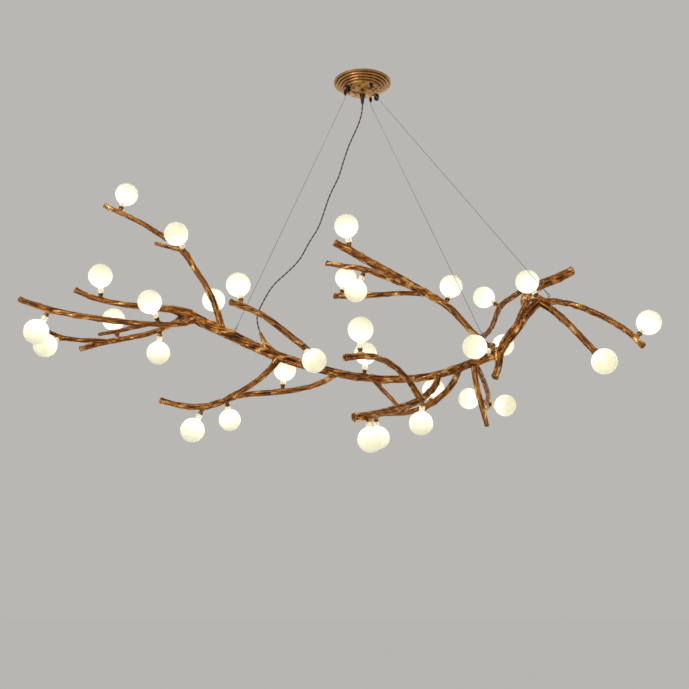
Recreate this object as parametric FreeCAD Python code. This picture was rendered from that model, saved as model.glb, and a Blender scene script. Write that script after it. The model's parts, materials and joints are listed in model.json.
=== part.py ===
import FreeCAD, Part
import math
import os

# A branch chandelier: a cast tree trunk with forked limbs, held under a round
# stepped canopy by three steel wires, with plug-in lamps in milky globes.
# Millimetres, +Z up. The origin is the centre of the crossbar's ceiling face,
# X runs along the length of the tree and Y away from the viewer.

Vector = FreeCAD.Vector
UP = Vector(0, 0, 1)

over = 1.0                    # how far a cut runs past what it cuts

# ---------------------------------------------------------------- canopy sizes
canopy_radius = 75.0          # outer rim on the ceiling
canopy_depth = 36.0           # ceiling to the bottom of the dome
canopy_wall = 1.5
rim_height = 4.0              # straight rim against the ceiling
ring_count = 4                # stepped rings between the rim and the dome
ring_width = 6.5
ring_drop = 4.5
dome_shoulder_out = 0.62      # where the dome is roundest, as a share of its radius
dome_shoulder_down = 0.66     # and as a share of its depth

# ------------------------------------------------------------- crossbar sizes
bar_angle = 31.0              # the bar's direction in plan, from +X
bar_length = 116.0
bar_width = 20.0
bar_thickness = 2.5
bar_screw_spacing = 68.0      # ceiling screw holes, centre to centre
bar_screw_hole_radius = 2.5
bar_flange_height = 12.0      # folded edge that carries the driver
bar_flange_length = 60.0
driver_length = 58.0
driver_width = 22.0
driver_height = 13.0
driver_corner = 3.0
driver_top_gap = 1.0          # driver below the ceiling

# ------------------------------------------------- canopy screws, strain relief
screw_circle_radius = 44.0
screw_stud_radius = 2.0
screw_hole_clearance = 0.4
cap_nut_radius = 6.5
cap_nut_height = 15.0
cap_nut_dome = 3.0
relief_top_radius = 6.0
relief_bottom_radius = 3.6
relief_flange_radius = 7.5
relief_flange_height = 3.0
relief_length = 24.0          # below the dome
relief_stem_radius = 5.0      # the stem in the dome's hole
relief_nut_radius = 8.0
relief_nut_height = 3.0
cord_radius = 2.0

# --------------------------------------------------- wire grippers and the wires
gripper_circle_radius = 45.0
gripper_angles = (180.0, -60.0, 60.0)
gripper_radius = 4.0
gripper_above = 6.0           # body above the underside of the canopy
gripper_below = 8.0           # body below it
gripper_bore_radius = 2.6     # the plunger's guide
plunger_radius = 2.5
plunger_bore_radius = 1.2
plunger_length = 9.0
plunger_travel = 2.5
plunger_tip = plunger_travel + 1.5   # what stands out of the body
wire_radius = 0.6
wire_bend_radius = 8.0

# --------------------------------------------------------------- the tree sizes
tree_drop = 750.0             # ceiling to the middle of the trunk
section_sides = 9
section_step = 42.0           # distance between bark sections
fewest_spans = 3              # on a short limb
bark_lobe = 0.09              # depth of the lobes as a share of the radius
bark_twist = 0.006            # how fast the lobes wind along a limb, radians per mm
tip_chamfer = 2.5
tip_share = 0.72              # radius of the cut end beside the limb's own

# ---------------------------------------------------------------- lamp sizes
globe_radius = 30.0
globe_wall = 1.5
neck_radius = 7.2
neck_bore_radius = 5.2
neck_length = 14.0            # holder's mouth to the globe
base_height = 1.5             # the capsule's base, between the holder and the neck
capsule_radius = 4.2
capsule_height = 34.0
pin_radius = 0.35
pin_spacing = 4.0
pin_length = 7.0
pin_clearance = 0.1
holder_mouth_radius = 6.4
holder_root_radius = 4.4
holder_height = 12.0          # limb surface to the holder's mouth
holder_lip = 2.0
holder_flare = 7.2            # from the mouth to the narrow root
seat_share = 0.9              # the limb's surface, as a share of its radius

# ------------------------------------------------------------ wire eyes on the tree
eye_stud_radius = 1.6
eye_height = 7.0              # limb surface to the eye's centre
eye_ring_radius = 3.4
eye_ring_wire = 0.9
loop_radius = 3.0
loop_wire = 0.6
loop_gap = 0.1
ferrule_radius = 1.5
ferrule_length = 9.0

# ------------------------------------------------------- the routes of the limbs
# Each waypoint is (x, y, height over the trunk's middle, radius of the limb).
# A limb that grows from another starts inside it, at its own first waypoint.
TRUNK = [
    (-725, 10, 185, 7.0), (-655, 25, 160, 7.0), (-565, 40, 150, 7.2),
    (-490, 55, 146, 8.5), (-450, 60, 138, 12.0), (-415, 75, 120, 12.5),
    (-355, 90, 95, 13.5), (-290, 100, 65, 12.5), (-225, 115, 40, 12.0),
    (-165, 140, 25, 12.0), (-85, 170, 10, 11.0), (5, 205, 0, 10.5),
    (100, 212, -3, 10.5), (180, 180, -2, 10.5), (230, 115, 0, 10.5),
    (275, 45, 5, 10.5), (330, -20, 13, 11.0),
]
CORD_TWIG = [(-215, 120, 40, 9.0), (-245, 106, 60, 7.5), (-256, 99, 76, 5.5), (-264, 93, 96, 4.0)]
LIMB_L1 = [
    (-360, 88, 97, 10.0), (-375, 72, 150, 8.5), (-400, 50, 205, 7.5), (-440, 30, 265, 7.5),
    (-460, 20, 295, 10.0), (-515, 58, 342, 7.5), (-585, 85, 393, 6.5), (-640, 95, 422, 6.5),
    (-686, 102, 446, 5.5),
]
LIMB_L1_TWIG = [(-460, 20, 293, 6.0), (-495, 0, 295, 5.0), (-525, -15, 300, 4.0)]
LIMB_L3 = [
    (-425, 70, 125, 8.0), (-465, 30, 100, 6.0), (-505, 0, 92, 6.2), (-550, -30, 86, 6.5),
    (-605, -60, 85, 7.0), (-660, -85, 87, 7.0), (-750, -110, 100, 7.0), (-812, -150, 115, 6.0),
]
LIMB_L5 = [(-530, -18, 88, 6.0), (-580, -5, 80, 5.2), (-615, 5, 75, 5.0), (-660, 10, 68, 4.2)]
LIMB_L4 = [
    (-448, 65, 135, 8.0), (-495, 92, 115, 6.0), (-525, 120, 110, 6.5), (-580, 145, 100, 6.5),
    (-640, 160, 93, 7.0), (-685, 150, 80, 7.0), (-735, 130, 60, 6.5),
]
LIMB_L4_FORK = [(-665, 156, 86, 6.5), (-710, 125, 82, 5.8), (-765, 95, 80, 5.8), (-800, 65, 90, 5.0)]
LIMB_M1 = [
    (-100, 165, 15, 9.0), (-125, 85, 28, 8.0), (-150, 15, 40, 8.0), (-195, -15, 70, 7.8),
    (-240, -40, 100, 7.5), (-295, -70, 120, 7.5), (-325, -85, 127, 6.5),
]
LIMB_M2 = [
    (-215, 120, 35, 9.0), (-255, 100, -18, 7.0), (-315, 75, -68, 7.5), (-395, 45, -108, 8.5),
    (-450, 25, -108, 7.8), (-500, 10, -96, 6.5),
]
LIMB_M3 = [
    (-65, 180, 5, 7.5), (-140, 205, -25, 6.5), (-215, 230, -33, 8.0), (-270, 255, -32, 7.8),
    (-320, 280, -32, 7.5), (-378, 297, -46, 6.5),
]
LIMB_C1 = [
    (-72, -60, 285, 8.5), (-35, -45, 270, 9.5), (15, 0, 255, 9.8), (70, 45, 240, 10.0),
    (130, 95, 220, 10.8), (190, 120, 195, 9.5), (240, 105, 150, 9.0), (262, 85, 115, 8.0),
    (290, 50, 70, 8.5), (328, -12, 22, 9.5),
]
LIMB_C2 = [(130, 96, 219, 8.0), (100, 105, 230, 7.5), (60, 110, 250, 7.5), (10, 110, 270, 7.5),
           (-60, 125, 285, 6.5), (-97, 130, 295, 6.5)]
LIMB_C3 = [(172, 118, 203, 7.5), (125, 160, 220, 6.5), (75, 200, 230, 7.0), (15, 235, 235, 7.2),
           (-77, 270, 245, 7.2)]
LIMB_R1 = [(290, 50, 72, 8.0), (320, 110, 95, 6.5), (345, 170, 135, 7.0), (365, 220, 180, 7.5),
           (380, 250, 210, 8.0), (405, 275, 235, 7.2), (455, 310, 275, 7.0)]
LIMB_D1 = [
    (203, 165, 0, 8.5), (190, 130, -30, 8.0), (170, 90, -60, 8.2), (140, 50, -90, 8.8),
    (100, 0, -115, 9.0), (60, -50, -135, 9.0), (10, -105, -155, 9.6), (-27, -142, -165, 9.0),
]
LIMB_D2 = [
    (143, 54, -88, 8.5), (110, 0, -50, 7.2), (90, -30, -35, 7.2), (60, -65, -20, 7.2),
    (25, -105, -15, 7.2), (-15, -135, -20, 7.5), (-47, -160, -30, 8.0),
]
LIMB_D4 = [
    (245, 90, 0, 9.0), (220, 150, -45, 7.8), (195, 175, -65, 8.0), (150, 185, -90, 8.0),
    (100, 178, -100, 6.5), (30, 148, -110, 6.0),
]
LIMB_D3 = [(28, 208, 0, 7.0), (55, 202, -35, 5.6), (82, 190, -66, 5.6), (104, 180, -97, 5.6)]
LIMB_R2 = [(332, -18, 12, 11.0), (345, -20, 40, 11.5), (370, -12, 70, 12.5), (395, -2, 105, 12.5),
           (420, 8, 135, 11.5), (450, 20, 162, 10.5)]
LIMB_R2_SIDE = [(368, -12, 72, 6.5), (388, -22, 118, 5.5), (404, -16, 148, 5.5), (438, 14, 158, 6.0)]
LIMB_R4 = [(400, 0, 110, 11.5), (412, 40, 150, 11.5), (420, 76, 190, 12.0), (465, 98, 225, 12.8),
           (508, 108, 245, 12.8), (552, 118, 270, 12.0)]
LIMB_R5 = [(443, 20, 152, 10.5), (466, -5, 130, 9.0), (505, -70, 62, 8.2), (527, -102, 20, 8.2),
           (543, -125, -10, 8.2)]
LIMB_R6 = [(443, 20, 152, 10.0), (500, -8, 146, 7.4), (555, -50, 112, 7.4), (612, -85, 67, 7.4),
           (637, -100, 40, 7.6), (660, -110, 8, 6.0)]
LIMB_R7 = [(330, -20, 13, 11.0), (328, -32, -16, 8.6), (313, -48, -54, 8.2)]
LIMB_T24 = [(336, -18, 16, 8.0), (344, 80, 44, 5.6), (350, 180, 72, 5.2), (350, 290, 110, 5.0)]
LIMB_S1 = [(277, 44, 3, 8.0), (280, 50, -35, 7.2), (285, 55, -60, 7.2), (290, 60, -82, 7.6),
           (300, 60, -122, 7.0), (306, 55, -155, 5.2)]
LIMB_S2 = [(277, 44, 3, 8.0), (304, 125, -8, 6.6), (335, 250, -22, 7.2), (354, 360, -30, 8.0),
           (358, 420, -40, 7.4)]

# ------------------------------------------------- the lamps' places on the limbs
# (limb, distance from the limb's first waypoint, azimuth, elevation of the lamp)
LAMPS = [
    ("l1", 475, 50, 70), ("l1", 220, -110, 35), ("trunk", 70, -90, 70), ("l3", 115, -140, 60),
    ("l4", 230, 150, 70), ("l3", 385, 170, -60), ("l4_fork", 125, -125, -30), ("l4", 105, 110, -75),
    ("l1", 45, 115, 50), ("m1", 350, 125, 70), ("m1", 160, -50, -45), ("m3", 165, 55, 80),
    ("m2", 250, 170, -65), ("m3", 335, 80, -55), ("c1", 565, -145, 80), ("c3", 280, 45, 70),
    ("c2", 135, 145, -60), ("d2", 260, -85, 75), ("trunk", 790, -80, 75), ("c1", 240, 50, 65),
    ("r1", 260, 140, 35), ("r2", 190, 145, 60), ("trunk", 1220, -155, 10), ("t24", 315, 40, 10),
    ("d4", 145, 70, 50), ("d1", 140, 115, -80), ("d1", 370, -80, -70), ("d4", 300, 70, -70),
    ("s2", 350, 145, 15), ("s2", 370, -45, -10), ("r5", 235, -80, -35), ("r6", 275, 25, 45),
]


class Limb:
    """A cast limb: a smooth centreline through its waypoints with a radius at each."""

    def __init__(self, route, parent=None, phase=0.0):
        self.points = [Vector(x, y, z - tree_drop) for x, y, z, radius in route]
        if parent:
            self.points[0] = parent.nearest(self.points[0])
        self.curve = Part.BSplineCurve()
        self.curve.interpolate(Points=self.points)
        self.places = [self.distance_at(point) for point in self.points]
        self.radii = [radius for x, y, z, radius in route]
        self.phase = phase
        self.length = self.places[-1]

    def distance_at(self, point):
        return self.curve.length(self.curve.FirstParameter, self.curve.parameter(point))

    def nearest(self, point):
        return self.curve.value(self.curve.parameter(point))

    def parameter(self, distance):
        return self.curve.parameterAtDistance(distance, self.curve.FirstParameter)

    def point(self, distance):
        return self.curve.value(self.parameter(distance))

    def tangent(self, distance):
        return self.curve.tangent(self.parameter(distance))[0]

    def radius(self, distance):
        for near, far, start, end in zip(self.places, self.places[1:], self.radii, self.radii[1:]):
            if distance <= far:
                return start + (end - start) * (distance - near) / (far - near)
        return self.radii[-1]

    def section(self, distance, centre, across, tangent, share=1.0):
        """A lobed ring of bark round the centreline."""
        corners = []
        turn = self.phase + bark_twist * distance
        for side in range(section_sides):
            angle = 2 * math.pi * side / section_sides
            lobes = math.cos(2 * angle + turn) + math.cos(3 * angle - 2 * turn)
            reach = self.radius(distance) * share * (1 + bark_lobe * lobes / 2)
            out = across * math.cos(angle) + tangent.cross(across) * math.sin(angle)
            corners.append(centre + out * reach)
        return Part.makePolygon(corners + corners[:1])

    def solid(self):
        """Bark sections lofted from the root to a chamfered, cut tip."""
        spans = max(fewest_spans, round((self.length - tip_chamfer) / section_step))
        stops = [(self.length - tip_chamfer) * i / spans for i in range(spans + 1)]
        rings = []
        across = None
        for stop in stops:
            tangent = self.tangent(stop)
            across = level(across or UP.cross(tangent), tangent)
            rings.append(self.section(stop, self.point(stop), across, tangent))
        tangent = self.tangent(self.length)
        across = level(across, tangent)
        rings.append(self.section(self.length, self.points[-1], across, tangent, tip_share))
        return Part.makeLoft(rings, True, True)


def level(direction, axis):
    """The part of a direction that is square to an axis, at unit length."""
    flat = direction - axis * direction.dot(axis)
    return flat.normalize()


TREE = {"trunk": Limb(TRUNK)}
TREE["l1"] = Limb(LIMB_L1, TREE["trunk"], 0.5)
TREE["l1_twig"] = Limb(LIMB_L1_TWIG, TREE["l1"], 1.0)
TREE["l3"] = Limb(LIMB_L3, TREE["trunk"], 1.5)
TREE["l5"] = Limb(LIMB_L5, TREE["l3"], 2.0)
TREE["l4"] = Limb(LIMB_L4, TREE["trunk"], 2.5)
TREE["l4_fork"] = Limb(LIMB_L4_FORK, TREE["l4"], 3.0)
TREE["m1"] = Limb(LIMB_M1, TREE["trunk"], 3.5)
TREE["cord_twig"] = Limb(CORD_TWIG, TREE["trunk"], 4.0)
TREE["m2"] = Limb(LIMB_M2, TREE["trunk"], 4.5)
TREE["m3"] = Limb(LIMB_M3, TREE["trunk"], 5.0)
TREE["c1"] = Limb(LIMB_C1[::-1], TREE["trunk"], 5.5)
TREE["c2"] = Limb(LIMB_C2, TREE["c1"], 0.2)
TREE["c3"] = Limb(LIMB_C3, TREE["c1"], 0.7)
TREE["r1"] = Limb(LIMB_R1, TREE["c1"], 1.2)
TREE["d1"] = Limb(LIMB_D1, TREE["trunk"], 1.7)
TREE["d2"] = Limb(LIMB_D2, TREE["d1"], 2.2)
TREE["d4"] = Limb(LIMB_D4, TREE["trunk"], 2.7)
TREE["d3"] = Limb(LIMB_D3, TREE["trunk"], 3.2)
TREE["r2"] = Limb(LIMB_R2, TREE["trunk"], 3.7)
TREE["r2_side"] = Limb(LIMB_R2_SIDE, TREE["r2"], 4.2)
TREE["r4"] = Limb(LIMB_R4, TREE["r2"], 4.7)
TREE["r5"] = Limb(LIMB_R5, TREE["r2"], 5.2)
TREE["r6"] = Limb(LIMB_R6, TREE["r2"], 5.7)
TREE["r7"] = Limb(LIMB_R7, TREE["trunk"], 0.3)
TREE["t24"] = Limb(LIMB_T24, TREE["r2"], 0.8)
TREE["s1"] = Limb(LIMB_S1, TREE["trunk"], 1.3)
TREE["s2"] = Limb(LIMB_S2, TREE["trunk"], 1.8)
LIMB_NODES = {
    "trunk": ("trunk", "cord_twig"),
    "limb_cut_top": ("r2", "r2_side", "r4", "t24", "r7"),
    "limb_upper_right": ("c1", "c2", "c3", "r1"),
    "limb_far_right": ("r5", "r6"),
    "limb_drooping_pair": ("s1", "s2"),
    "limb_hanging_front": ("d1", "d2"),
    "limb_hanging_back": ("d4", "d3"),
    "limb_upper_left": ("l1", "l1_twig"),
    "limb_long_left": ("l3", "l5"),
    "limb_forked_left": ("l4", "l4_fork"),
    "limb_upper_middle": ("m1",),
    "limb_lower_front": ("m2",),
    "limb_lower_back": ("m3",),
}
# where each gripper's wire ends: (limb, distance along it), in the grippers' order
WIRE_ENDS = [("trunk", 425), ("r6", 25), ("c1", 68)]


def along(angle, length=1.0):
    """A direction in plan."""
    turn = math.radians(angle)
    return Vector(math.cos(turn) * length, math.sin(turn) * length, 0)


def aimed(shape, place, direction):
    """A shape made along +Z, moved to a place with +Z turned to a direction."""
    moved = shape.copy()
    turn = FreeCAD.Rotation(UP, direction)
    moved.Placement = FreeCAD.Placement(place, turn)
    return moved


def turned(corners):
    """A solid of revolution about Z from (radius, height) corners."""
    points = [Vector(radius, 0, height) for radius, height in corners]
    outline = Part.makePolygon(points + points[:1])
    return Part.Face(outline).revolve(Vector(), UP, 360)


def rod(radius, low, high):
    return Part.makeCylinder(radius, high - low, Vector(0, 0, low))


def save(name, shapes):
    """One STEP file for one node, with every solid in it checked."""
    solids = [solid for shape in shapes for solid in shape.Solids]
    for solid in solids:
        if not solid.isValid() or solid.Volume <= 0:
            print("not sound:", name)
    shape = solids[0] if len(solids) == 1 else Part.makeCompound(solids)
    shape.exportStep(f"parts/{name}.step")
    print(f"{name}: {len(solids)} solids, {shape.Volume / 1000:.1f} cm3")
    return solids


# -------------------------------------------------------------------- the canopy
def canopy_outline(inset):
    """Radii and heights of the stepped profile, from the rim down to the dome."""
    corners = [(canopy_radius - inset, 0.0), (canopy_radius - inset, -rim_height + inset)]
    radius = canopy_radius
    height = -rim_height
    for ring in range(ring_count):
        radius -= ring_width
        corners.append((radius - inset, height + inset))
        height -= ring_drop
        corners.append((radius - inset, height + inset))
    return corners, radius - inset, height + inset


def canopy_solid(inset):
    """The filled stepped canopy with its shallow dome."""
    corners, radius, height = canopy_outline(inset)
    bottom = -canopy_depth + inset
    points = [Vector(x, 0, z) for x, z in corners]
    bulge = Vector(radius * dome_shoulder_out, 0,
                   height + (bottom - height) * dome_shoulder_down)
    edges = Part.makePolygon([Vector()] + points).Edges
    edges.append(Part.Arc(points[-1], bulge, Vector(0, 0, bottom)).toShape())
    edges.append(Part.makeLine(Vector(0, 0, bottom), Vector()))
    return Part.Face(Part.Wire(edges)).revolve(Vector(), UP, 360)


def screw_places():
    return [along(bar_angle, screw_circle_radius), along(bar_angle + 180, screw_circle_radius)]


def gripper_places():
    return [along(angle, gripper_circle_radius) for angle in gripper_angles]


def skin_height(radius):
    """Height of the canopy's outside at a radius, found on the solid itself."""
    ray = Part.makeLine(Vector(radius, 0, -canopy_depth - over), Vector(radius, 0, 0))
    return canopy_filled.common(ray).BoundBox.ZMin


canopy_filled = canopy_solid(0)
gripper_skin = skin_height(gripper_circle_radius)
screw_skin = skin_height(screw_circle_radius)


def canopy_shell():
    shell = canopy_filled.cut(canopy_solid(canopy_wall))
    for place in screw_places():
        hole = rod(screw_stud_radius + screw_hole_clearance, -canopy_depth, 0)
        shell = shell.cut(aimed(hole, place, UP))
    for place in gripper_places():
        shell = shell.cut(aimed(rod(gripper_radius, -canopy_depth, 0), place, UP))
    return shell.cut(rod(relief_stem_radius, -canopy_depth - over, 0))


def ceiling_crossbar():
    """The bar screwed to the ceiling, with a folded edge that carries the driver."""
    bar = Part.makeBox(bar_length, bar_width, bar_thickness,
                       Vector(-bar_length / 2, -bar_width / 2, -bar_thickness))
    flange = Part.makeBox(bar_flange_length, bar_thickness, bar_flange_height,
                          Vector(-bar_flange_length / 2, bar_width / 2 - bar_thickness,
                                 -bar_flange_height))
    bar = bar.fuse(flange).removeSplitter()
    for side in (-1, 1):
        hole = rod(bar_screw_hole_radius, -bar_thickness, 0)
        hole.translate(Vector(side * bar_screw_spacing / 2, 0, 0))
        bar = bar.cut(hole)
    bar.rotate(Vector(), UP, bar_angle)
    return bar


def lamp_driver():
    """The sealed driver, screwed to the bar's folded edge."""
    box = Part.makeBox(driver_length, driver_width, driver_height,
                       Vector(-driver_length / 2, bar_width / 2, -driver_top_gap - driver_height))
    uprights = [edge for edge in box.Edges if edge.BoundBox.ZLength > driver_height / 2]
    box = box.makeFillet(driver_corner, [edge for edge in uprights if edge.Vertexes[0].Y > bar_width])
    box.rotate(Vector(), UP, bar_angle)
    return box


def canopy_screw():
    """A stud from the crossbar with a knurled cap nut under the canopy."""
    nut = turned([(0, screw_skin - cap_nut_height), (cap_nut_radius - cap_nut_dome,
                  screw_skin - cap_nut_height), (cap_nut_radius, screw_skin - cap_nut_height
                  + cap_nut_dome), (cap_nut_radius, screw_skin + cap_nut_dome),
                  (0, screw_skin + cap_nut_dome)])
    stud = rod(screw_stud_radius, screw_skin - cap_nut_dome, -bar_thickness)
    return nut, stud


def canopy_screws():
    screws = []
    for place in screw_places():
        nut, stud = [aimed(piece, place, UP) for piece in canopy_screw()]
        screws.append(nut.cut(canopy_filled).fuse(stud).removeSplitter())
    return screws


def strain_relief():
    """A tapered gland in the dome, with its lock nut inside the canopy."""
    bottom = -canopy_depth - relief_length
    gland = turned([(0, bottom), (relief_bottom_radius, bottom),
                    (relief_top_radius, -canopy_depth - relief_flange_height),
                    (relief_flange_radius, -canopy_depth - relief_flange_height),
                    (relief_flange_radius, -canopy_depth + relief_flange_height),
                    (0, -canopy_depth + relief_flange_height)]).cut(canopy_filled)
    stem_top = -canopy_depth + canopy_wall + relief_nut_height
    stem = rod(relief_stem_radius, -canopy_depth - relief_flange_height, stem_top)
    nut = rod(relief_nut_radius, -canopy_depth, stem_top).cut(canopy_shell_solid)
    nut = nut.cut(rod(relief_stem_radius, -canopy_depth - over, stem_top + over))
    inside = canopy_solid(canopy_wall)
    return gland.fuse(stem).removeSplitter(), nut.common(inside)


# ------------------------------------------------------ wires and their grippers
def wire_gripper():
    """A body through the canopy with the plunger's guide bored from below."""
    top = gripper_skin + gripper_above
    bottom = gripper_skin - gripper_below
    body = rod(gripper_radius, bottom, top)
    return body.cut(rod(gripper_bore_radius, bottom, bottom + plunger_length - plunger_tip
                        + plunger_travel))


def gripper_plunger():
    bottom = gripper_skin - gripper_below - plunger_tip
    sleeve = rod(plunger_radius, bottom, bottom + plunger_length)
    return sleeve.cut(rod(plunger_bore_radius, bottom, bottom + plunger_length))


def wire_start(place):
    """Where the wire is anchored inside its gripper, and where it starts to bend."""
    anchor = place + UP * (gripper_skin - gripper_below + plunger_length - plunger_tip
                           + plunger_travel)
    bend = place + UP * (gripper_skin - gripper_below - plunger_tip - wire_bend_radius)
    return anchor, bend


def eye_parts(limb_name, distance, bend):
    """An eye screw on the limb and the crimped loop that the wire ends in."""
    limb = TREE[limb_name]
    seat = limb.point(distance)
    stand = limb.radius(distance) + eye_height
    centre = seat + UP * stand
    pull = (bend - centre).normalize()
    flat = level(pull, UP)
    side = UP.cross(flat)
    ring = Part.makeTorus(eye_ring_radius, eye_ring_wire, centre, side)
    stud = rod(eye_stud_radius, 0, stand - eye_ring_radius)
    stud = aimed(stud, seat, UP).cut(castings[node_of[limb_name]])
    hang = centre + pull * (eye_ring_radius - eye_ring_wire - loop_wire - loop_gap)
    middle = hang + pull * loop_radius
    loop = Part.makeTorus(loop_radius, loop_wire, middle, side.cross(pull))
    crimp = middle + pull * (loop_radius - loop_wire / 2)
    ferrule = aimed(rod(ferrule_radius, 0, ferrule_length), crimp, pull)
    return ring.fuse(stud.Solids), loop.fuse(ferrule), crimp + pull * ferrule_length


def suspension_wire(anchor, bend, end):
    """One steel wire: straight in its gripper, one bend, then straight to its ferrule."""
    down = (anchor - bend).normalize()
    away = (end - bend).normalize()
    half = down.getAngle(away) / 2
    reach = wire_bend_radius / math.tan(half)
    first = bend + down * reach
    last = bend + away * reach
    middle = (down + away).normalize()
    crown = bend + middle * (wire_bend_radius / math.sin(half) - wire_bend_radius)
    path = Part.Wire([Part.makeLine(anchor, first), Part.Arc(first, crown, last).toShape(),
                      Part.makeLine(last, end)])
    return tube(path, wire_radius, anchor, UP)


def tube(path, radius, start, axis):
    section = Part.Wire([Part.Circle(start, axis, radius).toShape()])
    return path.makePipeShell([section], True, False)


# -------------------------------------------------------------- limbs and lamps
def cast_limbs():
    """Every casting, each cut back to the surface of the ones it is seated on."""
    made = {}
    for name, members in LIMB_NODES.items():
        solid = TREE[members[0]].solid()
        for member in members[1:]:
            solid = solid.fuse(TREE[member].solid())
        for other in made.values():
            if solid.BoundBox.intersect(other.BoundBox):
                solid = solid.cut(other)
        made[name] = max(solid.Solids, key=lambda piece: piece.Volume)
    return made


def globe():
    """A blown globe, open where the neck stands under it."""
    inner_radius = globe_radius - globe_wall
    centre = neck_length + math.sqrt(globe_radius ** 2 - neck_radius ** 2)

    def on(radius, angle):
        return Vector(radius * math.sin(angle), 0, centre + radius * math.cos(angle))

    foot = math.pi - math.asin(neck_radius / globe_radius)
    mouth = math.pi - math.asin(neck_bore_radius / inner_radius)
    rim = Vector(neck_bore_radius, 0, neck_length)
    edges = [
        Part.Arc(on(globe_radius, 0), on(globe_radius, foot / 2), on(globe_radius, foot)).toShape(),
        Part.makeLine(on(globe_radius, foot), rim),
        Part.makeLine(rim, on(inner_radius, mouth)),
        Part.Arc(on(inner_radius, mouth), on(inner_radius, mouth / 2), on(inner_radius, 0)).toShape(),
        Part.makeLine(on(inner_radius, 0), on(globe_radius, 0)),
    ]
    return Part.Face(Part.Wire(edges)).revolve(Vector(), UP, 360)


def lamp_pieces():
    """Globe, clear neck and the lit capsule with its two pins, on the holder's mouth."""
    neck = rod(neck_radius, base_height, neck_length)
    neck = neck.cut(rod(neck_bore_radius, base_height, neck_length))
    capsule = turned([(0, 0), (neck_radius, 0), (neck_radius, base_height),
                      (capsule_radius, base_height),
                      (capsule_radius, capsule_height - capsule_radius / 2),
                      (capsule_radius / 2, capsule_height), (0, capsule_height)])
    for side in (-1, 1):
        pin = rod(pin_radius, -pin_length, 0)
        pin.translate(Vector(side * pin_spacing / 2, 0, 0))
        capsule = capsule.fuse(pin)
    return globe(), neck, capsule


def holder_pieces(depth):
    """A dark twig-shaped holder, flared to its mouth, with the two pin holes."""
    holder = turned([(0, -depth), (holder_root_radius, -depth),
                     (holder_root_radius, -holder_flare),
                     (holder_mouth_radius, -holder_lip), (holder_mouth_radius, 0), (0, 0)])
    for side in (-1, 1):
        hole = rod(pin_radius + pin_clearance, -pin_length - pin_clearance, 0)
        hole.translate(Vector(side * pin_spacing / 2, 0, 0))
        holder = holder.cut(hole)
    return holder


def lamp_frame(limb_name, distance, azimuth, elevation):
    """Where a lamp's holder has its mouth, which way it points, and its root's depth."""
    limb = TREE[limb_name]
    rise = math.radians(elevation)
    out = along(azimuth, math.cos(rise)) + UP * math.sin(rise)
    depth = limb.radius(distance) * seat_share + holder_height
    return limb.point(distance) + out * depth, out, depth


# ------------------------------------------------------------------ power cord
# The cord hangs from the strain relief to the cord twig in these points.
CORD = [
    (-10, 5, -122), (-28, 12, -165), (-42, 19, -211), (-54, 27, -256), (-76, 35, -296),
    (-91, 44, -341), (-106, 51, -386), (-132, 58, -424), (-153, 66, -466), (-187, 72, -498),
    (-225, 79, -528), (-250, 84, -568), (-270, 86, -606),
]
cord_lead = 24.0              # straight cord, square to what it leaves at each end
cord_arc_share = 0.45         # of the shorter run beside each arc


def cord_tube():
    """Straight runs joined by arcs as large as the runs allow."""
    start = Vector(0, 0, -canopy_depth - relief_length)
    twig = TREE["cord_twig"]
    tip = twig.points[-1]
    points = [start, start - UP * cord_lead] + [Vector(*place) for place in CORD]
    points += [tip + twig.tangent(twig.length) * cord_lead, tip]
    edges = []
    last = start
    for before, corner, after in zip(points, points[1:], points[2:]):
        back = before - corner
        ahead = after - corner
        half = back.getAngle(ahead) / 2
        reach = cord_arc_share * min(back.Length, ahead.Length)
        radius = reach * math.tan(half)
        first = corner + back.normalize() * reach
        end = corner + ahead.normalize() * reach
        middle = (back + ahead).normalize()
        crown = corner + middle * (radius / math.sin(half) - radius)
        edges.append(Part.makeLine(last, first))
        edges.append(Part.Arc(first, crown, end).toShape())
        print(f"cord radius {radius:.0f}")
        last = end
    edges.append(Part.makeLine(last, points[-1]))
    path = Part.Wire(edges)
    cord = tube(path, cord_radius, start, points[1] - points[0])
    ideal = math.pi * cord_radius ** 2 * path.Length
    print(f"cord {path.Length:.0f} mm, volume over ideal {cord.Volume / ideal:.4f}")
    return cord


# ----------------------------------------------------------------- all the nodes
os.makedirs("parts", exist_ok=True)
canopy_shell_solid = canopy_shell()
castings = cast_limbs()
node_of = {limb: name for name, members in LIMB_NODES.items() for limb in members}

save("canopy_shell", [canopy_shell_solid])
save("ceiling_crossbar", [ceiling_crossbar()])
save("lamp_driver", [lamp_driver()])
save("canopy_screws", canopy_screws())
save("strain_relief", strain_relief())
save("wire_grippers", [aimed(wire_gripper(), place, UP) for place in gripper_places()])

eyes = []
for number, (place, (limb_name, distance)) in enumerate(zip(gripper_places(), WIRE_ENDS), 1):
    save(f"gripper_plunger_{number}", [aimed(gripper_plunger(), place, UP)])
    anchor, bend = wire_start(place)
    ring, crimp, wire_end = eye_parts(limb_name, distance, bend)
    eyes += [ring, crimp]
    save(f"suspension_wire_{number}", [suspension_wire(anchor, bend, wire_end)])
save("wire_eyes", eyes)
save("power_cord", [cord_tube()])

for name, solid in castings.items():
    save(name, [solid])

holders = []
for number, (limb_name, distance, azimuth, elevation) in enumerate(LAMPS, 1):
    mouth, out, depth = lamp_frame(limb_name, distance, azimuth, elevation)
    holder = aimed(holder_pieces(depth), mouth, out).cut(castings[node_of[limb_name]])
    holders.append(max(holder.Solids, key=lambda piece: piece.Volume))
    save(f"lamp_{number:02d}", [aimed(piece, mouth, out) for piece in lamp_pieces()])
save("lamp_holders", holders)
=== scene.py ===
import heapq
import json
import math

import bmesh
import bpy
import numpy as np
from mathutils import Matrix, Vector, noise


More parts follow.
